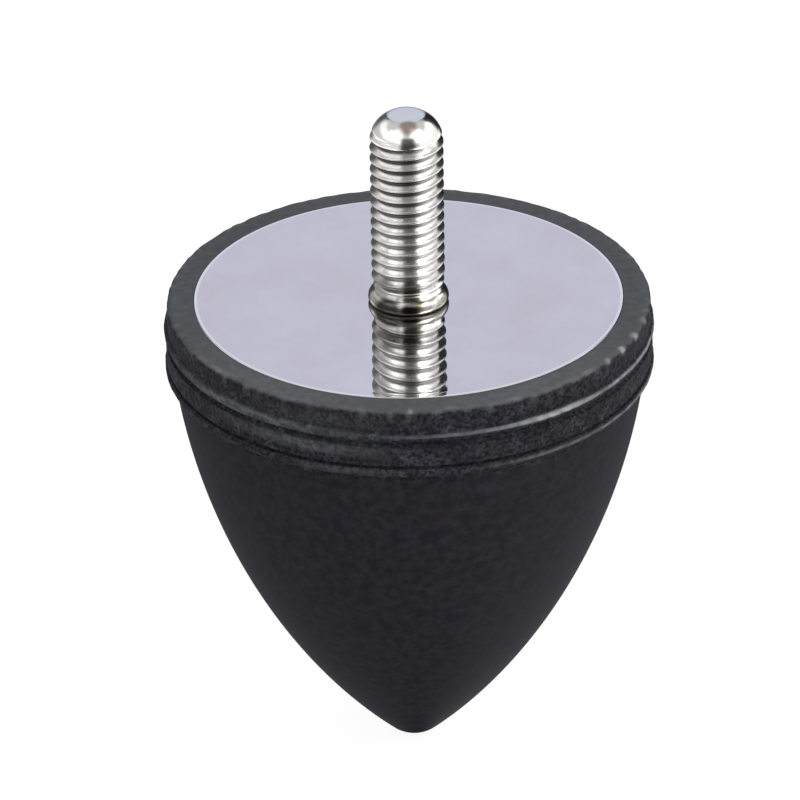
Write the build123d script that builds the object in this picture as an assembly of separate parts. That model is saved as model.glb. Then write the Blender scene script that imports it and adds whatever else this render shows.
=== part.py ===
from build123d import *

import os
from math import acos, asin, atan2, cos, hypot, pi, sin, sqrt

# Ogive rubber buffer: a moulded rubber nose bonded to a steel plate that carries a welded M8 stud.
# Millimetres. The origin is on the stud's axis, in the plane that the buffer is bolted up against.
# +Z runs along the stud and the rubber nose points down, along -Z.

# Steel plate
plate_diameter = 45.8
plate_thickness = 2.5
plate_land_width = 0.6    # flat ring that is left round the plate's edge
plate_dish_depth = 0.45   # the weld pulls the middle of the plate down by this much

# Rubber rim that wraps the plate's edge
rim_wall = 2.85           # rubber outside the plate, up to the upper band
rim_height = 7.8
rim_edge_round = 0.6
upper_band_height = 2.45
middle_band_step = 0.2    # how far the middle band stands outside the upper one
bead_rise = 0.35          # crest of each bead, outside the upper band
bead_width = 1.05
groove_sink = 0.4         # floor of each groove, inside the middle band
upper_groove_width = 0.7
lower_groove_width = 0.4

# Rubber nose
nose_length = 54.0        # from the mounting plane to the tip
nose_step = 0.7           # how far the nose starts inside the middle band
nose_arc_radius = 74.6
nose_tip_radius = 4.15

# Stud, with the flange and plain neck that stud welding leaves at its foot
stud_length = 21.3        # above the mounting plane
thread_diameter = 7.8     # crests of a rolled M8 thread
end_flat_diameter = 4.0
end_height = 3.0          # of the arc that rounds the stud's end
flange_diameter = 8.6
flange_foot_diameter = 7.8    # on the plate, below the flange's widest ring
flange_ring_height = 0.5
flange_height = 1.5
neck_diameter = 7.4
neck_length = 1.65
weld_seat_margin = 0.2    # flat seat on the plate, outside the flange

plate_radius = plate_diameter / 2
flange_radius = flange_diameter / 2
seat_radius = flange_radius + weld_seat_margin
upper_band_radius = plate_radius + rim_wall
middle_band_radius = upper_band_radius + middle_band_step
dish_edge_radius = plate_radius - plate_land_width
dish_sphere_radius = (dish_edge_radius**2 + plate_dish_depth**2) / (2 * plate_dish_depth)


def dish_level(radius):
    """Height of the plate's dished face at a distance from the axis."""
    return dish_sphere_radius - plate_dish_depth - sqrt(dish_sphere_radius**2 - radius**2)


seat_level = dish_level(seat_radius)


def turned(outline):
    """Solid of revolution of a closed outline in the XZ plane, all round the Z axis."""
    return revolve(make_face(outline), axis=Axis.Z)


def polyline(*points):
    """Straight edges through (radius, height) points."""
    corners = [(radius, 0, height) for radius, height in points]
    return Polyline(*corners)


def arc(start, middle, end):
    """Round edge through three (radius, height) points."""
    corners = [(radius, 0, height) for radius, height in (start, middle, end)]
    return ThreePointArc(*corners)


def quarter_round(centre, radius):
    """Convex corner from straight up to straight out, about its centre."""
    x, z = centre
    middle = (x + radius * cos(pi / 4), z + radius * sin(pi / 4))
    return arc((x, z + radius), middle, (x + radius, z))


def upright_arc(start, end):
    """Arc that leaves its start straight up or down and bends in towards the axis to its end."""
    across = start[0] - end[0]
    rise = end[1] - start[1]
    radius = (across**2 + rise**2) / (2 * across)
    half_turn = asin(rise / radius) / 2
    middle = (start[0] - radius * (1 - cos(half_turn)), start[1] + radius * sin(half_turn))
    return arc(start, middle, end)


def steel_plate():
    """Round plate with a shallow spherical dish and a flat seat for the stud."""
    middle_radius = (seat_radius + dish_edge_radius) / 2
    dish = arc(
        (dish_edge_radius, 0),
        (middle_radius, dish_level(middle_radius)),
        (seat_radius, seat_level),
    )
    edges = polyline(
        (seat_radius, seat_level),
        (0, seat_level),
        (0, -plate_thickness),
        (plate_radius, -plate_thickness),
        (plate_radius, 0),
        (dish_edge_radius, 0),
    )
    return turned(edges + dish)


def rim_outline(shoulder):
    """Rim section from the plate's edge round its bands, beads and grooves to the nose."""
    crest = upper_band_radius + bead_rise
    floor = middle_band_radius - groove_sink
    bead_top = -upper_band_height
    groove_top = bead_top - bead_width
    band_top = groove_top - upper_groove_width
    lower_bead_top = shoulder[1] + bead_width
    band_bottom = lower_bead_top + lower_groove_width
    return [
        polyline((plate_radius, 0), (upper_band_radius - rim_edge_round, 0)),
        quarter_round((upper_band_radius - rim_edge_round, -rim_edge_round), rim_edge_round),
        polyline((upper_band_radius, -rim_edge_round), (upper_band_radius, bead_top)),
        arc(
            (upper_band_radius, bead_top),
            (crest, bead_top - bead_width / 2),
            (middle_band_radius, groove_top),
        ),
        arc(
            (middle_band_radius, groove_top),
            (floor, groove_top - upper_groove_width / 2),
            (middle_band_radius, band_top),
        ),
        polyline((middle_band_radius, band_top), (middle_band_radius, band_bottom)),
        arc(
            (middle_band_radius, band_bottom),
            (floor, band_bottom - lower_groove_width / 2),
            (middle_band_radius, lower_bead_top),
        ),
        arc((middle_band_radius, lower_bead_top), (crest, lower_bead_top - bead_width / 2), shoulder),
    ]


def nose_outline(shoulder):
    """Ogive arc from the shoulder, ending tangent to the round tip on the axis."""
    # The arc's centre lies nose_arc_radius from the shoulder, and the two radii's difference from
    # the tip's centre, so it is where those two circles cross, on the far side of the axis.
    tip_level = nose_tip_radius - nose_length
    to_tip = (-shoulder[0], tip_level - shoulder[1])
    span = hypot(*to_tip)
    reach = nose_arc_radius - nose_tip_radius
    turn = acos((nose_arc_radius**2 + span**2 - reach**2) / (2 * nose_arc_radius * span))
    towards = atan2(to_tip[1], to_tip[0]) - turn
    centre = (
        shoulder[0] + nose_arc_radius * cos(towards),
        shoulder[1] + nose_arc_radius * sin(towards),
    )

    def on_arc(angle):
        return (centre[0] + nose_arc_radius * cos(angle), centre[1] + nose_arc_radius * sin(angle))

    start_angle = atan2(shoulder[1] - centre[1], shoulder[0] - centre[0])
    end_angle = atan2(tip_level - centre[1], -centre[0])
    tangent = on_arc(end_angle)
    tip_middle = (end_angle - pi / 2) / 2
    return [
        arc(shoulder, on_arc((start_angle + end_angle) / 2), tangent),
        arc(
            tangent,
            (nose_tip_radius * cos(tip_middle), tip_level + nose_tip_radius * sin(tip_middle)),
            (0, -nose_length),
        ),
    ]


def rubber_body():
    """Solid rubber: rim round the plate, and the nose below it."""
    shoulder = (middle_band_radius - nose_step, -rim_height)
    pocket = polyline(
        (0, -nose_length),
        (0, -plate_thickness),
        (plate_radius, -plate_thickness),
        (plate_radius, 0),
    )
    outline = Curve() + [pocket, *rim_outline(shoulder), *nose_outline(shoulder)]
    return turned(outline)


def threaded_stud():
    """Stud at its thread's crest diameter, with a rounded end, a plain neck and a welded flange."""
    thread_radius = thread_diameter / 2
    neck_radius = neck_diameter / 2
    foot_radius = flange_foot_diameter / 2
    flat_radius = end_flat_diameter / 2
    flange_ring = (flange_radius, seat_level + flange_ring_height)
    flange_top = seat_level + flange_height
    thread_start = flange_top + neck_length
    end_level = stud_length - end_height
    outline = Curve() + [
        polyline(
            (flat_radius, stud_length),
            (0, stud_length),
            (0, seat_level),
            (foot_radius, seat_level),
        ),
        upright_arc(flange_ring, (foot_radius, seat_level)),
        upright_arc(flange_ring, (neck_radius, flange_top)),
        polyline(
            (neck_radius, flange_top),
            (neck_radius, thread_start),
            (thread_radius, thread_start + thread_radius - neck_radius),
            (thread_radius, end_level),
        ),
        # The end's arc leaves the thread's crests straight up and meets the flat at an edge.
        upright_arc((thread_radius, end_level), (flat_radius, stud_length)),
    ]
    return turned(outline)


os.makedirs("parts", exist_ok=True)
export_step(steel_plate(), "parts/steel_plate.step")
export_step(rubber_body(), "parts/rubber_body.step")
export_step(threaded_stud(), "parts/threaded_stud.step")
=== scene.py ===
"""Looks of a rubber bump stop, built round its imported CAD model.

The stop is one rigid body of three bonded pieces: a rubber moulding, a dished steel plate and a
welded stud with a rolled thread. The classes hold their sizes in millimetres, in the frame of the
CAD model, and the meshes are made in metres.
"""

import logging
import math
from collections.abc import Callable, Iterable
from dataclasses import dataclass, field
from enum import Enum
from functools import partial

import bmesh
import bpy
from bmesh.types import BMEdge, BMesh, BMVert
from bpy.types import Material, NodeSocket, NodeTree, Object, bpy_prop_collection
from mathutils import Matrix, Quaternion, Vector, noise

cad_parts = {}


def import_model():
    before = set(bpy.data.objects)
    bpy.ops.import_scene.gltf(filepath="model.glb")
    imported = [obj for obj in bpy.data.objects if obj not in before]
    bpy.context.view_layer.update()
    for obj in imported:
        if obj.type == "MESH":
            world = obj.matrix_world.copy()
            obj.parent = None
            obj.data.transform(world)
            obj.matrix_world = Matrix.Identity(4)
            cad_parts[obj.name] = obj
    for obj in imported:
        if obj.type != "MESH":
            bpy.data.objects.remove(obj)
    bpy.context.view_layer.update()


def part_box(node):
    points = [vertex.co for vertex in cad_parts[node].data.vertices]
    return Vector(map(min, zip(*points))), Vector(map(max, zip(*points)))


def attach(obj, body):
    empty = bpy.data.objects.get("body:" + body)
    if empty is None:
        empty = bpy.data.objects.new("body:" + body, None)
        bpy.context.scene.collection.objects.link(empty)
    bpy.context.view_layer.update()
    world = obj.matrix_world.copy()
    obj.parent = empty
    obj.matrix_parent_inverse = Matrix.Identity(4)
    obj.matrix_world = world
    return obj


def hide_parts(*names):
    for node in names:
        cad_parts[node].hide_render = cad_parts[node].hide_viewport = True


MM = 0.001
FULL_TURN = 2 * math.pi
PAINTED_SHADE = "soil"
DUST_AND_PAINTED_LIGHT = "dust"

logging.basicConfig(level=logging.INFO, format="%(message)s")
log = logging.getLogger("bump_stop")

Point = tuple[float, float]
Adder = Callable[..., bpy_prop_collection]
Stop = tuple[float, float | str]  # a ramp's position, and its colour as a hex code or a grey value
Stops = tuple[Stop, ...]


class Slot(Enum):
    """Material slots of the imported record."""

    RUBBER = "black_rubber"
    PLATE = "polished_steel"
    STUD = "bright_plated_steel"


# ---- Helpers


def linear(code: str) -> tuple[float, float, float, float]:
    """Turn an sRGB hex colour into the linear colour that the shaders take.

    Args:
        code: Colour as "#rrggbb".

    Returns:
        Linear red, green, blue and an alpha of 1.
    """
    channels = [int(code[i : i + 2], 16) / 255 for i in (1, 3, 5)]
    bent = [c / 12.92 if c <= 0.04045 else ((c + 0.055) / 1.055) ** 2.4 for c in channels]
    return (bent[0], bent[1], bent[2], 1.0)


def smooth_step(low: float, high: float, value: float) -> float:
    """Ease from 0 at low to 1 at high."""
    share = min(max((value - low) / (high - low), 0.0), 1.0)
    return share * share * (3 - 2 * share)


def arc(start: Point, middle: Point, end: Point, steps: int) -> list[Point]:
    """Points of the circular arc through three points, the last one included.

    Args:
        start: First point as (radius, height); it is left out of the result.
        middle: A point on the arc.
        end: Last point.
        steps: Number of straight pieces that stand for the arc.

    Returns:
        The points after start.
    """
    (ax, ay), (bx, by), (cx, cy) = start, middle, end
    scale = 2 * (ax * (by - cy) + bx * (cy - ay) + cx * (ay - by))
    aa, bb, cc = (px * px + py * py for px, py in (start, middle, end))
    x = (aa * (by - cy) + bb * (cy - ay) + cc * (ay - by)) / scale
    y = (aa * (cx - bx) + bb * (ax - cx) + cc * (bx - ax)) / scale
    radius = math.hypot(ax - x, ay - y)
    first = math.atan2(ay - y, ax - x)
    last = math.atan2(cy - y, cx - x)
    between = math.atan2(by - y, bx - x)
    span = (last - first) % FULL_TURN
    if (between - first) % FULL_TURN > span:
        span -= FULL_TURN
    angles = [first + span * i / steps for i in range(1, steps + 1)]
    return [(x + radius * math.cos(a), y + radius * math.sin(a)) for a in angles]


def upright_arc(start: Point, end: Point, steps: int) -> list[Point]:
    """Points of an arc that leaves its start straight up or down and bends in to its end.

    Args:
        start: First point as (radius, height); it is left out of the result.
        end: Last point, nearer to the axis.
        steps: Number of straight pieces that stand for the arc.

    Returns:
        The points after start.
    """
    across, rise = start[0] - end[0], end[1] - start[1]
    radius = (across**2 + rise**2) / (2 * across)
    turns = [math.asin(rise / radius) * i / steps for i in range(1, steps + 1)]
    return [(start[0] - radius * (1 - math.cos(a)), start[1] + radius * math.sin(a)) for a in turns]


def run(start: Point, end: Point, steps: int = 1) -> list[Point]:
    """Points of a straight run, the last one included and the first left out."""
    (x, y), shares = start, [i / steps for i in range(1, steps + 1)]
    return [(x + (end[0] - x) * share, y + (end[1] - y) * share) for share in shares]


def spun(points: list[Point], segments: int, climb: float = 0.0) -> BMesh:
    """Spin a chain of edges in the XZ plane once round the Z axis.

    Args:
        points: (radius, height) pairs in millimetres.
        segments: Number of steps in the full turn.
        climb: Rise over the full turn in millimetres; a flat turn closes on itself.

    Returns:
        The mesh.
    """
    mesh = bmesh.new()
    verts = [mesh.verts.new((radius * MM, 0, height * MM)) for radius, height in points]
    edges = [mesh.edges.new(pair) for pair in zip(verts, verts[1:])]
    bmesh.ops.spin(
        mesh,
        geom=[*verts, *edges],
        axis=(0, 0, 1),
        dvec=(0, 0, climb * MM / segments),
        angle=FULL_TURN,
        steps=segments,
        use_merge=not climb,
    )
    return mesh


def turned(points: list[Point], segments: int) -> BMesh:
    """Turn a half section, from axis to axis, into a closed mesh with its normals outwards.

    Args:
        points: (radius, height) pairs in millimetres.
        segments: Number of steps in the full turn.

    Returns:
        The mesh.
    """
    mesh = spun(points, segments)
    bmesh.ops.remove_doubles(mesh, verts=mesh.verts, dist=1e-7)
    bmesh.ops.dissolve_degenerate(mesh, edges=mesh.edges, dist=1e-8)
    bmesh.ops.recalc_face_normals(mesh, faces=mesh.faces)
    return mesh


def linked(name: str, data: bpy.types.ID) -> Object:
    """Make an object of some data and link it to the scene.

    Args:
        name: The object's name.
        data: Its mesh, lamp or camera data.

    Returns:
        The object, at the origin.
    """
    thing = bpy.data.objects.new(name, data)
    bpy.context.scene.collection.objects.link(thing)
    return thing


def piece_from(mesh: BMesh, name: str, crease: float) -> Object:
    """Make a finished object at the origin from a bmesh.

    Args:
        mesh: The bmesh; it is freed.
        name: Name of the object and of its mesh data.
        crease: Edges that turn by more than this many degrees stay sharp.

    Returns:
        The new object, linked to the scene.
    """
    for face in mesh.faces:
        face.smooth = True
    for edge in mesh.edges:
        edge.smooth = edge.calc_face_angle(0.0) < math.radians(crease)
    data = bpy.data.meshes.new(name)
    mesh.to_mesh(data)
    mesh.free()
    return linked(name, data)


def add_node(
    tree: NodeTree, kind: str, inputs: dict | None = None, stops: Stops = (), **settings
) -> bpy_prop_collection:
    """Add one node with its settings and links.

    Args:
        tree: The node tree.
        kind: Shader node type without its prefix, such as "Math".
        inputs: Input name or index to a value, or to the output socket that feeds it.
        stops: Stops of a colour ramp.
        **settings: Properties of the node.

    Returns:
        The new node's outputs.
    """
    node = tree.nodes.new(f"ShaderNode{kind}")
    for name, value in settings.items():
        setattr(node, name, value)
    for key, value in (inputs or {}).items():
        if isinstance(value, NodeSocket):
            tree.links.new(value, node.inputs[key])
        else:
            node.inputs[key].default_value = value
    for index, (position, colour) in enumerate(stops):
        elements = node.color_ramp.elements
        element = elements[index] if index < 2 else elements.new(position)
        element.position = position
        element.color = linear(colour) if isinstance(colour, str) else (colour, colour, colour, 1)
    return node.outputs


def new_material(name: str) -> tuple[Material, Adder]:
    """Make an empty node material.

    Args:
        name: The real finish's name.

    Returns:
        The material, and the function that adds a node to it.
    """
    material = bpy.data.materials.new(name)
    material.use_nodes = True
    material.node_tree.nodes.clear()
    return material, partial(add_node, material.node_tree)


def layered(add: Adder, base: NodeSocket, layers: Iterable[tuple]) -> NodeSocket:
    """Lay colours over a base, one after the other.

    Args:
        add: Adds a node.
        base: The colour below.
        layers: Pairs of a share and the colour that covers by it.

    Returns:
        The covered colour.
    """
    for share, colour in layers:
        colour = linear(colour) if isinstance(colour, str) else colour
        base = add("Mix", {"Factor": share, 6: base, 7: colour}, data_type="RGBA")[2]
    return base


# ---- Finishes


@dataclass(frozen=True)
class Span:
    """Stretch of a value, and the stretch that it is mapped to."""

    low: float
    high: float
    to_low: float = 0.0
    to_high: float = 1.0

    def fed(self, value: NodeSocket) -> dict:
        """Inputs of a map-range node that reads a value."""
        ends = {"From Min": self.low, "From Max": self.high}
        return {"Value": value, **ends, "To Min": self.to_low, "To Max": self.to_high}


@dataclass(frozen=True)
class Texture:
    """Cloudy noise whose main lumps are as wide as its size."""

    size_mm: float
    detail: float
    roughness: float

    def fed(self, place: NodeSocket) -> dict:
        """Inputs of a noise node that reads a place."""
        scale = 1 / (self.size_mm * MM)
        return {"Vector": place, "Scale": scale, "Detail": self.detail, "Roughness": self.roughness}


@dataclass(frozen=True)
class Bead:
    """Painted highlight and glossy coat along a bead's crest, fading out away from the key lamp's
    side.
    """

    crest_mm: float
    across: Span
    amount: float


@dataclass(frozen=True)
class MouldedRubber:
    """Black vulcanised rubber out of a steel mould.

    Carbon black makes it nearly black all through. The mould's blasted wall leaves a matt grain,
    with pale flecks and dark pits on the rim. The rim's flat top is a lighter grey, patchy and
    ragged at its edge, and dust sits on torn flash. Lighter patches are painted on the rim where
    the lamps light its edges and beads, and a painted highlight with a glossy coat runs along the
    beads' crests, fading out away from the key lamp.
    """

    dark: str = "#212024"
    light: str = "#302e35"
    fleck: str = "#5a5e67"
    pit: str = "#08080a"
    # Lighter grey of the rim's flat top, patchy and ragged at its edge.
    top_grey: str = "#585a5d"
    # Colour of the painted highlight along the beads' crests.
    bead_highlight_colour: str = "#7c7e87"
    # Colour of the dust on the flash and of the painted light patches.
    dust_and_light_colour: str = "#a9adaf"
    specular: float = 0.05
    ior: float = 1.5
    bead_coat_roughness: float = 0.2
    # A blasted mould's grain is finer, about 0.2 mm. It is drawn coarser so that it shows.
    grain: Texture = Texture(0.4, 2.0, 0.55)
    mottle: Texture = Texture(1.1, 3.0, 0.6)
    flecks: Texture = Texture(1.4, 2.5, 0.6)
    tones: Point = (0.36, 0.68)  # of the mottle, from dark to light
    matt: Span = Span(0.3, 0.7, 0.68, 0.82)  # mottle to roughness
    rim: Span = Span(-9.4 * MM, -7.8 * MM)
    flecked: Span = Span(0.44, 0.76, 0.06, 0.42)
    speckle: Span = Span(0.45, 0.64, 0.3, 1.4)
    pitted: Span = Span(0.5, 0.38, 0.0, 0.55)
    top_grey_edge: Span = Span(-0.2 * MM, 0.15 * MM)
    ragged_mm: float = 0.5
    top_grey_patches: Span = Span(0.3, 0.7, 0.72, 1.0)
    # Painted highlights along the beads' crests, strongest towards +X, the key lamp's side.
    beads: tuple[Bead, ...] = (
        Bead(-2.86, Span(-10.0 * MM, 16.0 * MM), 1.0),
        Bead(-7.14, Span(3.0 * MM, 18.0 * MM), 0.5),
    )
    bead_reach_mm: float = 0.25
    bead_core: float = 0.3  # share of the reach that gets the full painted highlight
    bead_patches: Span = Span(0.35, 0.65, 0.45, 1.0)
    lumps: Span = Span(0.0, 1.0, 0.12, 0.8)  # bump's strength, from the nose to the rim
    coarse_mm: float = 0.2
    fine_mm: float = 0.07

    def bead_highlight_mask(
        self, add: Adder, across: NodeSocket, height: NodeSocket, mottle: NodeSocket
    ) -> NodeSocket:
        """How much painted highlight and glossy coat lie on the beads' crests.

        Args:
            add: Adds a node.
            across: X of the place.
            height: Z of the place.
            mottle: Noise that breaks up the painted highlight.

        Returns:
            A share from 0 to 1.
        """
        bead_highlights = []
        for bead in self.beads:
            away = add("Math", {0: height, 1: bead.crest_mm * MM}, operation="SUBTRACT")[0]
            away = add("Math", {0: away}, operation="ABSOLUTE")[0]
            reach = self.bead_reach_mm * MM
            lit = Span(self.bead_core * reach, reach, bead.amount, 0.0)
            line = add("MapRange", lit.fed(away))
            kept = add("MapRange", bead.across.fed(across), interpolation_type="SMOOTHSTEP")
            bead_highlights.append(add("Math", {0: line[0], 1: kept[0]}, operation="MULTIPLY")[0])
        bead_highlight = add("Math", dict(enumerate(bead_highlights)), operation="MAXIMUM")[0]
        uneven = add("MapRange", self.bead_patches.fed(mottle))["Result"]
        return add("Math", {0: bead_highlight, 1: uneven}, operation="MULTIPLY")[0]

    def material(self) -> Material:
        """Build the rubber material.

        Returns:
            The material.
        """
        material, add = new_material("moulded_black_rubber")
        place = add("TexCoord")["Object"]
        across, _, height = add("SeparateXYZ", {"Vector": place})
        grain, mottle, flecks = (
            add("TexNoise", texture.fed(place))["Fac"]
            for texture in (self.grain, self.mottle, self.flecks)
        )
        uneven = {0: flecks, 1: self.ragged_mm * MM, 2: height}
        ragged = add("Math", uneven, operation="MULTIPLY_ADD")[0]
        top, on_rim = (
            add("MapRange", span.fed(value), interpolation_type="SMOOTHSTEP")["Result"]
            for span, value in ((self.top_grey_edge, ragged), (self.rim, height))
        )
        patchy, flecked, speckle, pitted, rough, lumps = (
            add("MapRange", span.fed(value))["Result"]
            for span, value in (
                (self.top_grey_patches, mottle),
                (self.flecked, flecks),
                (self.speckle, grain),
                (self.pitted, grain),
                (self.matt, mottle),
                (self.lumps, on_rim),
            )
        )
        flecked = add("Math", {0: flecked, 1: speckle}, operation="MULTIPLY")[0]
        flecked, pitted, top_greyed = (
            add("Math", {0: share, 1: where}, operation="MULTIPLY")[0]
            for share, where in ((flecked, on_rim), (pitted, on_rim), (top, patchy))
        )
        # Painted highlight on the beads' crests; the same share sets the glossy coat.
        bead_highlight = self.bead_highlight_mask(add, across, height, mottle)
        # Dust on the flash and the rim's edge, and the painted light patches.
        dust = add("Attribute", attribute_name=DUST_AND_PAINTED_LIGHT)["Fac"]
        tones = tuple(zip(self.tones, (self.dark, self.light)))
        body = add("ValToRGB", {"Fac": mottle}, tones)["Color"]
        layers = (
            (flecked, self.fleck),
            (pitted, self.pit),
            (top_greyed, self.top_grey),
            (bead_highlight, self.bead_highlight_colour),
            (dust, self.dust_and_light_colour),
        )
        coarse = add("Bump", {"Height": flecks, "Strength": lumps, "Distance": self.coarse_mm * MM})
        bump = {"Height": grain, "Strength": lumps, "Distance": self.fine_mm * MM}
        fine = add("Bump", {**bump, "Normal": coarse["Normal"]})
        shader = add(
            "BsdfPrincipled",
            {
                "Base Color": layered(add, body, layers),
                "Roughness": rough,
                "Specular IOR Level": self.specular,
                "IOR": self.ior,
                "Coat Weight": bead_highlight,
                "Coat Roughness": self.bead_coat_roughness,
                "Normal": fine["Normal"],
            },
        )
        add("OutputMaterial", {"Surface": shader[0]})
        return material


@dataclass(frozen=True)
class PolishedPlate:
    """Bright rolled steel sheet with a thin nickel flash.

    It is nearly a mirror. Handling leaves a faint cloudy haze, which softens the reflections a
    little here and there. The land round its edge is painted brighter, a painted highlight along
    the plate's edge.
    """

    colour: str = "#e0e1e2"
    haze_colour: str = "#d9d7d7"
    # Painted highlight: a brighter colour on the land round the edge.
    land_highlight_colour: str = "#f4f5f4"
    haze: Texture = Texture(9.0, 5.0, 0.62)
    hazed: Point = (0.35, 0.7)  # of the noise, from clear to hazed
    shine: Span = Span(0.35, 0.75, 0.015, 0.05)  # noise to roughness
    land_highlight: Span = Span(22.45 * MM, 22.55 * MM)

    def material(self) -> Material:
        """Build the plate material.

        Returns:
            The material.
        """
        material, add = new_material("bright_nickel_flashed_steel")
        place = add("TexCoord")["Object"]
        cloud = add("TexNoise", self.haze.fed(place))["Fac"]
        stops = tuple(zip(self.hazed, (self.colour, self.haze_colour)))
        face = add("ValToRGB", {"Fac": cloud}, stops)["Color"]
        flat = add("VectorMath", {0: place, 1: (1, 1, 0)}, operation="MULTIPLY")[0]
        radius = add("VectorMath", {0: flat}, operation="LENGTH")["Value"]
        # Painted highlight on the land round the edge.
        land_highlight = add("MapRange", self.land_highlight.fed(radius))["Result"]
        colour = layered(add, face, [(land_highlight, self.land_highlight_colour)])
        rough = add("MapRange", self.shine.fed(cloud))["Result"]
        shader = add("BsdfPrincipled", {"Base Color": colour, "Metallic": 1.0, "Roughness": rough})
        add("OutputMaterial", {"Surface": shader[0]})
        return material


@dataclass(frozen=True)
class Mark:
    """Round soft-edged spot on the metal; some are stains and some are painted shade."""

    colour: str
    place_mm: tuple[float, float, float]
    core_mm: float
    reach_mm: float


@dataclass(frozen=True)
class PlatedThread:
    """Bright plated rolled thread.

    Rolling burnishes the flanks, so they are brighter than the plate. A dark reflection is painted
    along each crest, and shade is painted in the groove, less towards the plate and on the right,
    and at the seat. The weld greys the foot and leaves a straw tint low on the flange. Round spots
    lie on
    the flange, the neck and the end: some are stains, and some are painted shade and painted dark
    reflections.
    """

    colour: str = "#f4f3f1"
    end_colour: str = "#e5ebe8"
    # Colour of the painted shade and painted dark reflection on the thread.
    painted_shade_colour: str = "#55514c"
    straw: str = "#a0917a"
    weld_grey: str = "#a8a49b"
    smudges: Texture = Texture(1.6, 3.0, 0.6)
    shine: Span = Span(0.3, 0.7, 0.12, 0.2)  # smudge to roughness
    painted_shade_roughens: float = 0.25
    tints: tuple[float, ...] = (0.35, 0.55, 0.72, 0.9)  # clean metal, weld grey from and to, straw
    tint: Span = Span(-0.4 * MM, 2.0 * MM, 0.14, -0.25)  # height to how far the weld's tint goes
    end: Span = Span(21.1 * MM, 21.2 * MM)
    marks: tuple[Mark, ...] = (
        # In order: a brown stain under the end's flat at the front, which also stands in for a
        # darker reflection there; a grey spot on the neck's left; painted shade at the flange's
        # foot, at the left and at the front; a dark brown stain on the flange's front, which also
        # stands in for its darker reflection; a painted dark reflection down the neck's front.
        Mark("#b0a19b", (0.2, -2.3, 20.9), 0.6, 1.2),
        Mark("#a3a19d", (-2.6, -2.9, 1.6), 1.4, 2.6),
        Mark("#3c3a36", (-2.3, -3.6, -0.35), 1.3, 2.1),
        Mark("#4d4a46", (-0.1, -4.3, -0.35), 0.9, 1.7),
        Mark("#5a523c", (1.0, -3.8, 1.0), 0.2, 1.1),
        Mark("#8c8982", (0.4, -4.0, 2.3), 0.9, 1.7),
    )

    def material(self) -> Material:
        """Build the stud material.

        Returns:
            The material.
        """
        material, add = new_material("bright_plated_rolled_steel")
        place = add("TexCoord")["Object"]
        smudge = add("TexNoise", self.smudges.fed(place))["Fac"]
        height = add("SeparateXYZ", {"Vector": place})["Z"]
        tint = add("MapRange", self.tint.fed(height), clamp=False)["Result"]
        tinted = add("Math", {0: smudge, 1: tint}, operation="ADD", use_clamp=True)[0]
        stops = tuple(zip(self.tints, (self.colour, self.weld_grey, self.weld_grey, self.straw)))
        metal = add("ValToRGB", {"Fac": tinted}, stops)["Color"]
        sawn = add("MapRange", self.end.fed(height))["Result"]
        # Painted shade from the mesh: a dark reflection on the crests, shade in the groove and at
        # the seat; it also roughens.
        soil = add("Attribute", attribute_name=PAINTED_SHADE)["Fac"]
        layers = [(sawn, self.end_colour)]
        # Spots: stains, painted shade and painted dark reflections.
        for mark in self.marks:
            ends = {0: place, 1: Vector(mark.place_mm) * MM}
            away = add("VectorMath", ends, operation="DISTANCE")["Value"]
            near = Span(mark.core_mm * MM, mark.reach_mm * MM, 1.0, 0.0).fed(away)
            spot = add("MapRange", near, interpolation_type="SMOOTHSTEP")["Result"]
            layers.append((spot, mark.colour))
        metal = layered(add, metal, [*layers, (soil, self.painted_shade_colour)])
        rough = add("MapRange", self.shine.fed(smudge))["Result"]
        duller = add("Math", {0: soil, 1: self.painted_shade_roughens, 2: rough}, operation="MULTIPLY_ADD")[0]
        shader = add("BsdfPrincipled", {"Base Color": metal, "Metallic": 1.0, "Roughness": duller})
        add("OutputMaterial", {"Surface": shader[0]})
        return material


# ---- Sub-assemblies


def settle(piece: Object, node: str, material: Material) -> None:
    """Give a piece its material and its body, and hide the CAD node it stands for.

    Args:
        piece: The finished object.
        node: Name of the CAD node.
        material: The piece's finish.
    """
    piece.data.materials.append(material)
    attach(piece, "root")
    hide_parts(node)
    log.info("%s: %d faces, stands for %s", piece.name, len(piece.data.polygons), node)


@dataclass(frozen=True)
class Patch:
    """Lighter patch on the rim, round a bearing and a height, with soft ends."""

    bearing: float
    half_width: float
    height: float
    half_height: float
    amount: float
    inner_radius: float = 24.95
    inner_ramp: float = 0.5
    core: float = 0.3

    def share(self, bearing: float, height: float, radius: float) -> float:
        """How much of the patch lies at a place.

        Args:
            bearing: Bearing in degrees.
            height: Height in millimetres.
            radius: Distance from the axis in millimetres.

        Returns:
            A share from 0 to the patch's amount.
        """
        along = abs(bearing - self.bearing) * math.radians(radius) / self.half_width
        up = abs(height - self.height) / self.half_height
        over = smooth_step(self.inner_radius, self.inner_radius + self.inner_ramp, radius)
        kept = self.amount * over * (1 - smooth_step(0.0, 1.0, along))
        return kept * (1 - smooth_step(self.core, 1.0, up))


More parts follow.
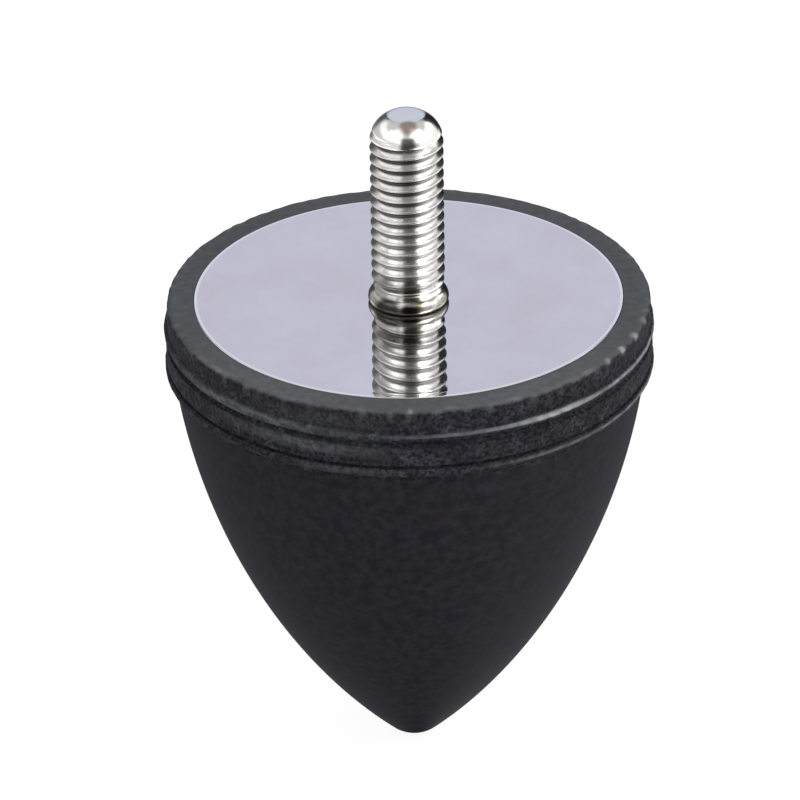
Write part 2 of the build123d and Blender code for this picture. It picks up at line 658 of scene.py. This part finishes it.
@dataclass
class RubberBody:
    """Rubber moulding: the rim round the plate, with its beads, and the ogive nose."""

    plate_radius: float
    plate_thickness: float
    nose_length: float
    upper_band_radius: float = 25.75
    middle_band_radius: float = 25.95
    crest_radius: float = 26.1
    groove_radius: float = 25.55
    edge_round: float = 0.6
    upper_band_height: float = 2.45
    bead_width: float = 1.05
    upper_groove_width: float = 0.7
    lower_groove_width: float = 0.4
    rim_height: float = 7.8
    shoulder_radius: float = 25.25
    nose_arc_radius: float = 74.6
    nose_tip_radius: float = 4.15
    flash: tuple[Patch, ...] = (
        Patch(-149, 2.2, 0.0, 0.5, 0.22),
        Patch(-141, 2.6, 0.0, 0.5, 0.28),
        Patch(-118, 0.7, 0.0, 0.4, 0.15),
        Patch(-90, 0.5, 0.0, 0.5, 0.45),
        Patch(-65, 1.4, 0.0, 0.5, 0.22),
        Patch(-44, 2.2, 0.0, 0.5, 0.28),
        Patch(-36, 0.6, -0.1, 0.7, 0.55),
        Patch(-29.5, 0.7, -0.1, 0.7, 0.85),
        Patch(-22, 0.8, -0.1, 0.7, 1.0),
        Patch(-14, 0.9, -0.1, 0.6, 0.35),
        Patch(75, 1.4, 0.0, 0.5, 0.25),
        Patch(140, 0.9, 0.0, 0.5, 0.35),
    )
    # Painted light: lighter patches on the rim. On the left they stand in for the fill lamp's light
    # on the band's edges and the beads; the one at -54 degrees is the key lamp's highlight on the
    # upper bead; the two at 22.4 mm lighten the rim's top.
    painted_light_patches: tuple[Patch, ...] = (
        Patch(-125, 17.0, 0.0, 0.6, 0.08, 22.4),
        Patch(-58, 20.0, 0.0, 0.6, 0.09, 22.4),
        Patch(-117, 15.0, -4.8, 0.9, 0.14),
        Patch(-112, 15.0, -1.7, 1.1, 0.05),
        Patch(-134, 20.0, -3.0, 0.7, 0.24),
        Patch(-106, 9.0, -7.2, 0.6, 0.08),
        Patch(-54, 6.5, -2.86, 0.4, 0.85),
    )
    smooth_inside: float = 0.3
    smooth_below: float = 0.5
    wave_size: float = 3.5
    wave_push: float = 0.05
    fine_size: float = 0.9
    fine_push: float = 0.04
    lump_size: float = 1.1
    lump_push: float = 0.07
    lump_lift: float = 0.05
    edge_inside: Point = (1.2, 0.4)  # from the band, where the top's edge starts and is full
    edge_heights: Point = (-1.8, -0.3)
    lift_from: float = -0.5
    unbroken: float = 0.45
    breaks: Point = (-0.35, 0.2)
    edge_dust: float = 0.12
    dusty: Point = (0.1, 0.5)
    top_steps: int = 9
    corner_steps: int = 10
    band_steps: int = 8
    bead_steps: int = 14
    groove_steps: tuple[int, int] = (10, 8)
    nose_steps: tuple[int, int] = (72, 14)  # of the ogive and of the tip
    segments: int = 480
    finish: MouldedRubber = field(default_factory=MouldedRubber)

    def rim(self) -> list[Point]:
        """Outline from the plate's edge down to the nose's shoulder.

        Returns:
            (radius, height) points.
        """
        band, middle = self.upper_band_radius, self.middle_band_radius
        corner = band - self.edge_round
        bead_top = -self.upper_band_height
        groove_top = bead_top - self.bead_width
        band_top = groove_top - self.upper_groove_width
        low_bead_top = self.bead_width - self.rim_height
        band_bottom = low_bead_top + self.lower_groove_width
        diagonal = self.edge_round * math.sqrt(0.5)
        points = [(self.plate_radius, 0.0)]
        points += run(points[-1], (corner, 0.0), self.top_steps)
        bulge = (corner + diagonal, diagonal - self.edge_round)
        points += arc(points[-1], bulge, (band, -self.edge_round), self.corner_steps)
        points += run(points[-1], (band, bead_top), self.band_steps)
        crest = (self.crest_radius, bead_top - self.bead_width / 2)
        points += arc(points[-1], crest, (middle, groove_top), self.bead_steps)
        floor = (self.groove_radius, groove_top - self.upper_groove_width / 2)
        points += arc(points[-1], floor, (middle, band_top), self.groove_steps[0])
        points += run(points[-1], (middle, band_bottom), self.band_steps)
        floor = (self.groove_radius, band_bottom - self.lower_groove_width / 2)
        points += arc(points[-1], floor, (middle, low_bead_top), self.groove_steps[1])
        crest = (self.crest_radius, low_bead_top - self.bead_width / 2)
        shoulder = (self.shoulder_radius, -self.rim_height)
        points += arc(points[-1], crest, shoulder, self.bead_steps)
        return points

    def nose(self) -> list[Point]:
        """Outline of the ogive and its round tip, down to the axis.

        Returns:
            (radius, height) points.
        """
        shoulder = (self.shoulder_radius, -self.rim_height)
        tip_level = self.nose_tip_radius - self.nose_length
        across, down = -shoulder[0], tip_level - shoulder[1]
        span, radius = math.hypot(across, down), self.nose_arc_radius
        reach = radius - self.nose_tip_radius
        cosine = (radius**2 + span**2 - reach**2) / (2 * radius * span)
        towards = math.atan2(down, across) - math.acos(cosine)
        centre_x = shoulder[0] + radius * math.cos(towards)
        centre_z = shoulder[1] + radius * math.sin(towards)
        first = math.atan2(shoulder[1] - centre_z, shoulder[0] - centre_x)
        last = math.atan2(tip_level - centre_z, -centre_x)
        steps = self.nose_steps[0]
        turns = [first + (last - first) * i / steps for i in range(1, steps + 1)]
        side = [(centre_x + radius * math.cos(a), centre_z + radius * math.sin(a)) for a in turns]
        steps = self.nose_steps[1]
        turns = [last + (-math.pi / 2 - last) * i / steps for i in range(1, steps)]
        radius = self.nose_tip_radius
        tip = [(radius * math.cos(a), tip_level + radius * math.sin(a)) for a in turns]
        return [*side, *tip, (0.0, -self.nose_length)]

    def build(self) -> Object:
        """Spin the moulding from its outline and its pocket for the plate.

        Returns:
            The finished piece.
        """
        pocket = [(0.0, -self.plate_thickness), (self.plate_radius, -self.plate_thickness)]
        mesh = turned([*pocket, *self.rim(), *self.nose()], self.segments)
        self.roughen_rim(mesh)
        return piece_from(mesh, "rubber_moulding", crease=50)

    def roughen_rim(self, mesh: BMesh) -> None:
        """Move the rim's skin a little, as trimming and the mould's joint leave it, and write its
        dust and its painted light patches.

        Args:
            mesh: The moulding; its vertices move and get their dust and painted light.
        """
        dust = mesh.verts.layers.float.new(DUST_AND_PAINTED_LIGHT)
        patches = (*self.flash, *self.painted_light_patches)
        inner, bottom = self.plate_radius + self.smooth_inside, -self.rim_height - self.smooth_below
        edge = [self.upper_band_radius - inside for inside in self.edge_inside]
        for vert in mesh.verts:
            x, y, z = vert.co
            radius = math.hypot(x, y) / MM
            height = z / MM
            if radius < inner or height < bottom:
                continue
            at_edge = smooth_step(*edge, radius) * smooth_step(*self.edge_heights, height)
            wave = noise.noise(Vector((x, y, z)) / (self.wave_size * MM))
            fine = noise.noise(Vector((x, y, z * 2)) / (self.fine_size * MM))
            lump = noise.noise(Vector((x, y, 0)) / (self.lump_size * MM) + Vector((7, 0, 0)))
            push = self.wave_push * wave + self.fine_push * fine + self.lump_push * at_edge * lump
            bearing = math.degrees(math.atan2(y, x))
            # Flash, and the painted light patches.
            speck = max(patch.share(bearing, height, radius) for patch in patches)
            broken = self.unbroken + (1 - self.unbroken) * smooth_step(*self.breaks, fine)
            at_rim = self.edge_dust * at_edge * smooth_step(*self.dusty, lump)
            vert[dust] = max(speck * broken, at_rim)
            vert.co += Vector((x, y, 0)).normalized() * push * MM
            lifted = self.lump_lift * MM * at_edge * lump
            vert.co.z += lifted * smooth_step(self.lift_from, 0.0, height)

    def dress(self) -> None:
        """Build the moulding and give it its rubber."""
        settle(self.build(), "rubber_body", self.finish.material())


@dataclass
class SteelPlate:
    """Steel plate with a shallow dish and a flat land round its edge."""

    radius: float
    thickness: float
    land_width: float = 0.6
    dish_depth: float = 0.45
    seat_radius: float = 4.5
    edge_round: float = 0.12
    face_steps: int = 28
    land_steps: int = 3
    corner_steps: int = 4
    segments: int = 256
    finish: PolishedPlate = field(default_factory=PolishedPlate)

    def level(self, radius: float) -> float:
        """Height of the dished face.

        Args:
            radius: Distance from the axis.

        Returns:
            The height, in millimetres as the radius.
        """
        edge = self.radius - self.land_width
        sphere = (edge**2 + self.dish_depth**2) / (2 * self.dish_depth)
        return sphere - self.dish_depth - math.sqrt(sphere**2 - radius**2)

    def build(self) -> Object:
        """Spin the plate from its section.

        Returns:
            The finished piece.
        """
        face = (self.radius - self.land_width) - self.seat_radius
        steps = range(self.face_steps + 1)
        radii = [self.seat_radius + face * step / self.face_steps for step in steps]
        rim = self.radius - self.edge_round
        diagonal = self.edge_round * math.sqrt(0.5)
        points = [(0.0, self.level(self.seat_radius))]
        points += [(radius, self.level(radius)) for radius in radii]
        points += run(points[-1], (rim, 0.0), self.land_steps)
        bulge = (rim + diagonal, diagonal - self.edge_round)
        points += arc(points[-1], bulge, (self.radius, -self.edge_round), self.corner_steps)
        points += [(self.radius, -self.thickness), (0.0, -self.thickness)]
        return piece_from(turned(points, self.segments), "dished_plate", crease=40)

    def dress(self) -> None:
        """Build the plate and give it its steel."""
        settle(self.build(), "steel_plate", self.finish.material())


@dataclass
class ThreadedStud:
    """Welded stud: a right-handed rolled thread, a plain neck and a bulging flange."""

    top: float
    seat: float
    crest_radius: float = 3.9
    pitch: float = 1.25
    neck_radius: float = 3.7
    flange_radius: float = 4.3
    foot_radius: float = 3.9
    ring_height: float = 0.5
    flange_height: float = 1.5
    neck_length: float = 1.65
    flat_radius: float = 2.0
    end_height: float = 3.0
    run_out: Point = (3.1, 0.7)  # below the top, where the groove starts to fill and is full
    flank_angle: float = 30.0
    depth_in_pitches: float = 0.6134  # of a metric external thread
    fade_end: float = 0.2  # in pitches, below the thread's start
    crest_corner: float = 0.05
    # Painted shade: a dark reflection along the crests, shade in the groove (less on the right and
    # low on the stud), and shade at the seat.
    crest_edge: Point = (0.09, 0.02)  # below the crest, where its painted dark reflection starts and is full
    crest_painted_shade: float = 0.35
    groove_edge: Point = (0.06, 0.3)  # above the groove's floor, where its painted shade is full and ends
    on_groove: Point = (0.02, 0.12)
    shade_less_right: float = 0.25
    shade_less_right_across: Point = (0.5, 2.5)
    shade_less_low: float = 0.3
    shade_less_below: Point = (4.0, 13.0)
    seat_painted_shade: Point = (0.1, 0.4)  # above the seat, where its painted shade is full and ends
    root_level: float = 2.3
    merge: float = 0.004
    end_steps: int = 30
    end_rings: tuple[float, ...] = (0.85, 0.6, 0.3, 0.05)  # shares of the flat's radius
    bulge_steps: int = 14
    foot_steps: int = 8
    segments: int = 192
    finish: PlatedThread = field(default_factory=PlatedThread)

    @property
    def depth(self) -> float:
        """Depth of a metric external thread of this pitch."""
        return self.depth_in_pitches * self.pitch

    @property
    def root_radius(self) -> float:
        """Distance of the groove's floor from the axis."""
        return self.crest_radius - self.depth

    @property
    def thread_start(self) -> float:
        """Height at which the plain neck ends."""
        return self.seat + self.flange_height + self.neck_length

    def ridge(self) -> list[Point]:
        """One pitch of the thread's section, between groove floors, with rolled corners.

        Returns:
            (radius, height) points.
        """
        angle = math.radians(self.flank_angle)
        slope = math.tan(angle)
        half = self.pitch / 2
        flat = half - self.pitch / 16
        fillet = (flat - slope * self.depth) / slope
        low = (self.root_radius + fillet / 2, fillet * math.cos(angle))
        floor = (self.root_radius + fillet * (1 - math.cos(angle)), fillet / 2)
        corner = (self.crest_radius - self.crest_corner, flat - slope * self.crest_corner)
        shoulder = (self.crest_radius - 0.2 * self.crest_corner, flat)
        lower = [(self.root_radius, 0.0)]
        lower += arc(lower[0], floor, low, 4)
        lower += run(low, corner, 3)
        lower += arc(corner, shoulder, (self.crest_radius, half), 3)
        upper = [(r, self.pitch - z) for r, z in reversed(lower[1:-1])]
        return [*lower, *upper]

    def build(self) -> Object:
        """Screw the thread's section up the stud, then trim it, round its end and foot it.

        Returns:
            The finished piece.
        """
        first = self.root_level - 3 * self.pitch
        turns = math.ceil((self.top - first) / self.pitch) + 1
        section = [(r, first + k * self.pitch + z) for k in range(turns) for r, z in self.ridge()]
        mesh = spun(section, self.segments, self.pitch)
        bmesh.ops.remove_doubles(mesh, verts=mesh.verts, dist=self.merge * MM)
        bmesh.ops.rotate(mesh, verts=mesh.verts, matrix=Matrix.Rotation(-math.pi / 2, 3, "Z"))
        self.trim(mesh, self.thread_start - self.pitch, self.top - self.end_height)
        self.fade_thread(mesh)
        self.round_end(mesh)
        self.foot(mesh)
        self.mark_painted_shade(mesh)
        bmesh.ops.recalc_face_normals(mesh, faces=mesh.faces)
        return piece_from(mesh, "rolled_stud", crease=50)

    def thread_radius(self, x: float, y: float, height: float) -> float:
        """Distance of the threaded surface from the axis, read from one pitch of the section.

        Args:
            x: X of the place, in any unit.
            y: Y of the place, in the same unit.
            height: Height in millimetres.

        Returns:
            The distance in millimetres.
        """
        climbed = self.pitch * (math.atan2(y, x) + math.pi / 2) / FULL_TURN
        phase = (height - self.root_level - climbed) % self.pitch
        ridge = [*self.ridge(), (self.root_radius, self.pitch)]
        for (r0, z0), (r1, z1) in zip(ridge, ridge[1:]):
            if z0 <= phase <= z1:
                return r0 + (r1 - r0) * (phase - z0) / (z1 - z0)
        return self.root_radius

    def trim(self, mesh: BMesh, bottom: float, top: float) -> None:
        """Cut the screwed mesh flat at both ends.

        Args:
            mesh: The stud's mesh.
            bottom: Height of the lower cut in millimetres.
            top: Height of the upper cut in millimetres.
        """
        for level, normal in ((top, 1), (bottom, -1)):
            bmesh.ops.bisect_plane(
                mesh,
                geom=[*mesh.verts, *mesh.edges, *mesh.faces],
                dist=1e-8,
                plane_co=(0, 0, level * MM),
                plane_no=(0, 0, normal),
                clear_outer=True,
            )

    def fade_thread(self, mesh: BMesh) -> None:
        """Run the thread out into the plain neck, and make its groove shallow near the end.

        Args:
            mesh: The stud's mesh.
        """
        for vert in mesh.verts:
            height = vert.co.z / MM
            radius = math.hypot(vert.co.x, vert.co.y) / MM
            radius += (self.crest_radius - radius) * self.shallow(height)
            kept = self.fade(vert.co.z)
            self.move_out(vert, self.neck_radius + (radius - self.neck_radius) * kept, height)

    def shallow(self, height: float) -> float:
        """Share by which the groove is filled at a height near the round end."""
        start, end = self.run_out
        return smooth_step(self.top - start, self.top - end, height)

    def fade(self, height: float) -> float:
        """Share of the thread's full depth at a height in metres."""
        full = self.thread_start - self.fade_end * self.pitch
        return smooth_step(self.thread_start - self.pitch, full, height / MM)

    @staticmethod
    def move_out(vert: BMVert, radius: float, height: float) -> None:
        """Put a vertex at a distance from the axis and a height, both in millimetres."""
        share = radius * MM / math.hypot(vert.co.x, vert.co.y)
        vert.co = (vert.co.x * share, vert.co.y * share, height * MM)

    @staticmethod
    def extruded(mesh: BMesh, loop: list[BMEdge]) -> tuple[list[BMEdge], set[BMVert]]:
        """Extrude a boundary loop.

        Args:
            mesh: The stud's mesh.
            loop: The boundary's edges.

        Returns:
            The new loop's edges and its vertices.
        """
        made = bmesh.ops.extrude_edge_only(mesh, edges=loop)["geom"]
        edges = [item for item in made if isinstance(item, BMEdge)]
        return edges, {vert for edge in edges for vert in edge.verts}

    def round_end(self, mesh: BMesh) -> None:
        """Extrude the round end ring by ring, with the thread's groove running out over it.

        Args:
            mesh: The stud's mesh, open at its top.
        """
        middle = self.top * MM / 2
        loop = [e for e in mesh.edges if e.is_boundary and e.verts[0].co.z > middle]
        start = (self.crest_radius, self.top - self.end_height)
        for bead_highlight, height in upright_arc(start, (self.flat_radius, self.top), self.end_steps):
            loop, verts = self.extruded(mesh, loop)
            for vert in verts:
                thread = self.thread_radius(vert.co.x, vert.co.y, height)
                thread += (self.crest_radius - thread) * self.shallow(height)
                self.move_out(vert, min(bead_highlight, thread), height)
        for share in self.end_rings:
            loop, verts = self.extruded(mesh, loop)
            for vert in verts:
                self.move_out(vert, self.flat_radius * share, self.top)
        bmesh.ops.contextual_create(mesh, geom=loop)

    def mark_painted_shade(self, mesh: BMesh) -> None:
        """Write where the thread gets painted shade: a dark reflection on the crests, shade in the
        groove and at the seat.

        Args:
            mesh: The stud's mesh; its vertices get their painted shade.
        """
        soil = mesh.verts.layers.float.new(PAINTED_SHADE)
        start = (self.top - self.end_height) * MM
        dark_crest = [self.crest_radius - below for below in self.crest_edge]
        groove = [self.root_radius + above for above in self.groove_edge]
        seat = [self.seat + above for above in self.seat_painted_shade]
        for vert in mesh.verts:
            x, y, z = vert.co
            thread = self.thread_radius(x, y, z / MM)
            crest = smooth_step(*dark_crest, thread)
            root = 1 - smooth_step(*groove, thread)
            root *= 1 - self.shallow(z / MM)
            root *= 1 - self.shade_less_right * smooth_step(*self.shade_less_right_across, x / MM)
            root *= 1 - self.shade_less_low * (1 - smooth_step(*self.shade_less_below, z / MM))
            if z > start:
                off = abs(thread - math.hypot(x, y) / MM)
                vert[soil] = root * (1 - smooth_step(*self.on_groove, off))
            elif z < 0:
                vert[soil] = 1 - smooth_step(*seat, z / MM)
            else:
                vert[soil] = max(self.crest_painted_shade * crest, root) * self.fade(z)

    def foot(self, mesh: BMesh) -> None:
        """Extrude the neck and the bulging flange down to the plate, and close the bottom.

        Args:
            mesh: The stud's mesh, open at its bottom.
        """
        neck_end = (self.neck_radius, self.seat + self.flange_height)
        ring = (self.flange_radius, self.seat + self.ring_height)
        bulge = [neck_end, *reversed(upright_arc(ring, neck_end, self.bulge_steps)[:-1]), ring]
        bulge += upright_arc(ring, (self.foot_radius, self.seat), self.foot_steps)
        loop = [edge for edge in mesh.edges if edge.is_boundary]
        for radius, height in bulge:
            loop, verts = self.extruded(mesh, loop)
            for vert in verts:
                self.move_out(vert, radius, height)
        bmesh.ops.contextual_create(mesh, geom=loop)

    def dress(self) -> None:
        """Build the stud and give it its plating."""
        settle(self.build(), "threaded_stud", self.finish.material())


# ---- Studio


@dataclass(frozen=True)
class Softbox:
    """Square soft lamp that looks at the origin from a direction."""

    name: str
    azimuth: float
    elevation: float
    distance: float
    size: float
    power: float

    def place(self) -> None:
        """Hang the lamp and turn it to the origin."""
        data = bpy.data.lights.new(self.name, "AREA")
        data.shape = "SQUARE"
        data.size = self.size
        data.energy = self.power
        lamp = linked(self.name, data)
        turn, lift = math.radians(self.azimuth), math.radians(self.elevation)
        out = math.cos(lift)
        towards = Vector((math.sin(turn) * out, -math.cos(turn) * out, math.sin(lift)))
        lamp.location = towards * self.distance
        lamp.rotation_euler = (-towards).to_track_quat("-Z", "Y").to_euler()


@dataclass
class Studio:
    """Pale floor, pale surroundings, and softboxes to the left and right of a dark gap.

    Gloss and mirrors see the studio as bearing ramps: brightness over the sine of the bearing, once
    for the half in front of the stop and once for the half behind it. Near the horizon the belt is
    dimmer, and high overhead a ceiling with its own ramp takes over.
    """

    floor_level: float
    floor_radius: float = 1.6
    floor_segments: int = 96
    floor_colour: str = "#ededed"
    floor_white: float = 0.8
    floor_glow: float = 1.15
    world_strength: float = 0.56
    ramp_scale: float = 2.5
    front_belt: Stops = (
        (0.0, 0.55), (0.29, 0.56), (0.38, 0.03), (0.69, 0.03), (0.74, 0.18), (0.8, 0.42),
        (0.86, 0.76), (1.0, 0.76),
    )
    back_belt: Stops = (
        (0.0, 0.46), (0.12, 0.42), (0.24, 0.06), (0.36, 0.06), (0.42, "#91909c"), (0.58, "#91909c"),
        (0.64, 0.01), (0.84, 0.01), (0.91, 0.74), (1.0, 0.76),
    )
    front_floor: Stops = (
        (0.0, 0.42), (0.27, 0.42), (0.37, 0.12), (0.69, 0.12), (0.74, 0.22), (0.8, 0.42),
        (0.88, 0.7), (1.0, 0.7),
    )
    back_floor: Stops = (
        (0.0, 0.46), (0.12, 0.4), (0.24, 0.08), (0.4, 0.08), (0.46, 0.24), (0.54, 0.24),
        (0.6, 0.01), (0.79, 0.01), (0.87, 0.46), (1.0, 0.5),
    )
    overhead: Stops = (
        (0.0, 0.44), (0.4, 0.46), (0.46, 0.24), (0.56, 0.24), (0.62, 0.52), (1.0, 0.52),
    )
    overhead_back: float = 0.24
    overhead_from: Span = Span(0.62, 0.7)
    past_zenith: Span = Span(-0.22, -0.06)
    belt_full_from: Span = Span(0.3, 0.4)
    horizon_dimmed: float = 0.45
    side_to_side: Span = Span(-1.0, 1.0)
    behind: Span = Span(-0.03, 0.03)
    softboxes: tuple[Softbox, ...] = (
        Softbox("key_softbox", 55, 42, 0.9, 0.5, 3.8),
        Softbox("fill_softbox", -60, 40, 1.0, 0.5, 1.2),
    )

    def by_bearing(
        self, add: Adder, parts: bpy_prop_collection, front: Stops, back: Stops
    ) -> NodeSocket:
        """Brightness of the studio by bearing from the stop, as the ramps hold it.

        Args:
            add: Adds a node.
            parts: X, Y and Z outputs of the direction or the place.
            front: Ramp stops for the half in front of the stop.
            back: Ramp stops for the half behind it.

        Returns:
            The unscaled ramp colour.
        """
        flat = add("CombineXYZ", {"X": parts["X"], "Y": parts["Y"]})[0]
        bearing = add("VectorMath", {0: flat}, operation="NORMALIZE")[0]
        sides = add("SeparateXYZ", {"Vector": bearing})
        across = add("MapRange", self.side_to_side.fed(sides["X"]))["Result"]
        behind = add("MapRange", self.behind.fed(sides["Y"]))["Result"]
        before, after = (
            add("ValToRGB", {"Fac": across}, stops)["Color"] for stops in (front, back)
        )
        return layered(add, before, [(behind, after)])

    def scaled(self, add: Adder, value: NodeSocket) -> NodeSocket:
        """Bring a ramp colour to its full strength."""
        return add("VectorMath", {0: value, "Scale": self.ramp_scale}, operation="SCALE")[0]

    def floor(self) -> None:
        """Lay the floor; the camera sees it as nearly white, with the stop's shadow."""
        mesh = bmesh.new()
        bmesh.ops.create_circle(
            mesh, cap_ends=True, radius=self.floor_radius, segments=self.floor_segments
        )
        bmesh.ops.translate(mesh, verts=mesh.verts, vec=(0, 0, self.floor_level))
        floor = piece_from(mesh, "studio_floor", crease=30)
        material, add = new_material("matt_white_floor")
        place = add("TexCoord")["Object"]
        parts = add("SeparateXYZ", {"Vector": place})
        studio = self.scaled(add, self.by_bearing(add, parts, self.front_floor, self.back_floor))
        rays = add("LightPath")
        whiteness = {0: rays["Is Camera Ray"], 1: self.floor_white}
        share = add("Math", whiteness, operation="MULTIPLY")[0]
        cloth = add("BsdfDiffuse", {"Color": linear(self.floor_colour)})
        glow = add("Emission", {"Strength": self.floor_glow})
        seen = add("MixShader", {0: share, 1: cloth[0], 2: glow[0]})
        mirrored = add("Emission", {"Color": studio})
        whole = add("MixShader", {0: rays["Is Glossy Ray"], 1: seen[0], 2: mirrored[0]})
        add("OutputMaterial", {"Surface": whole[0]})
        floor.data.materials.append(material)

    def surroundings(self) -> None:
        """White to the camera, plain to matt surfaces, and the softboxes to gloss and mirrors."""
        world = bpy.data.worlds.new("pale_studio")
        world.use_nodes = True
        world.node_tree.nodes.clear()
        add = partial(add_node, world.node_tree)
        direction = add("TexCoord")["Generated"]
        parts = add("SeparateXYZ", {"Vector": direction})
        belt = self.by_bearing(add, parts, self.front_belt, self.back_belt)
        raised, high, past_zenith, across = (
            add("MapRange", span.fed(parts[part]))["Result"]
            for span, part in (
                (self.belt_full_from, "Z"),
                (self.overhead_from, "Z"),
                (self.past_zenith, "Y"),
                (self.side_to_side, "X"),
            )
        )
        horizon = layered(add, belt, [(self.horizon_dimmed, "#000000")])
        overhead = add("ValToRGB", {"Fac": across}, self.overhead)["Color"]
        behind = (*[self.overhead_back] * 3, 1)
        overhead = layered(add, overhead, [(past_zenith, behind)])
        whole = layered(add, horizon, [(raised, belt), (high, overhead)])
        plain_light = (*[self.world_strength] * 3, 1)
        rays = add("LightPath")
        mirrored = (rays["Is Glossy Ray"], self.scaled(add, whole))
        seen = layered(add, plain_light, [mirrored, (rays["Is Camera Ray"], "#ffffff")])
        background = add("Background", {"Color": seen, "Strength": 1.0})
        add("OutputWorld", {"Surface": background[0]})
        bpy.context.scene.world = world

    def build(self) -> None:
        """Set up the floor, the surroundings and the lamps."""
        self.floor()
        self.surroundings()
        for softbox in self.softboxes:
            softbox.place()
        bpy.context.scene.view_settings.view_transform = "Standard"
        level = self.floor_level / MM
        log.info("studio: floor at %.1f mm, %d softboxes", level, len(self.softboxes))


@dataclass(frozen=True)
class Viewpoint:
    """Camera on a tripod in front of the stop, looking down at it."""

    distance: float = 0.624
    elevation: float = 27.6
    aim: tuple[float, float, float] = (-0.00108, 0.0, -0.01267)
    roll: float = -0.87
    lens: float = 264.0
    sensor: float = 36.0
    clip: Point = (0.01, 20.0)

    def build(self) -> None:
        """Create the camera and make it the scene's own."""
        data = bpy.data.cameras.new("camera")
        data.lens = self.lens
        data.sensor_width = self.sensor
        data.clip_start, data.clip_end = self.clip
        camera = linked("camera", data)
        lift = math.radians(self.elevation)
        camera.location = Vector((0, -math.cos(lift), math.sin(lift))) * self.distance
        look = (Vector(self.aim) - camera.location).to_track_quat("-Z", "Y")
        roll = Quaternion((0, 0, 1), math.radians(self.roll))
        camera.rotation_euler = (look @ roll).to_euler()
        bpy.context.scene.camera = camera


def main() -> None:
    """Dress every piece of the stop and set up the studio."""
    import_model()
    plate_low, plate_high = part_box("steel_plate")
    rubber_low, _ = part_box("rubber_body")
    stud_low, stud_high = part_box("threaded_stud")
    plate = SteelPlate(radius=plate_high.x / MM, thickness=-plate_low.z / MM)
    rubber = RubberBody(
        plate_radius=plate.radius,
        plate_thickness=plate.thickness,
        nose_length=-rubber_low.z / MM,
    )
    stud = ThreadedStud(top=stud_high.z / MM, seat=stud_low.z / MM)
    for part in (rubber, plate, stud):
        part.dress()
    Studio(floor_level=rubber_low.z).build()
    Viewpoint().build()


if __name__ == "__main__":
    main()
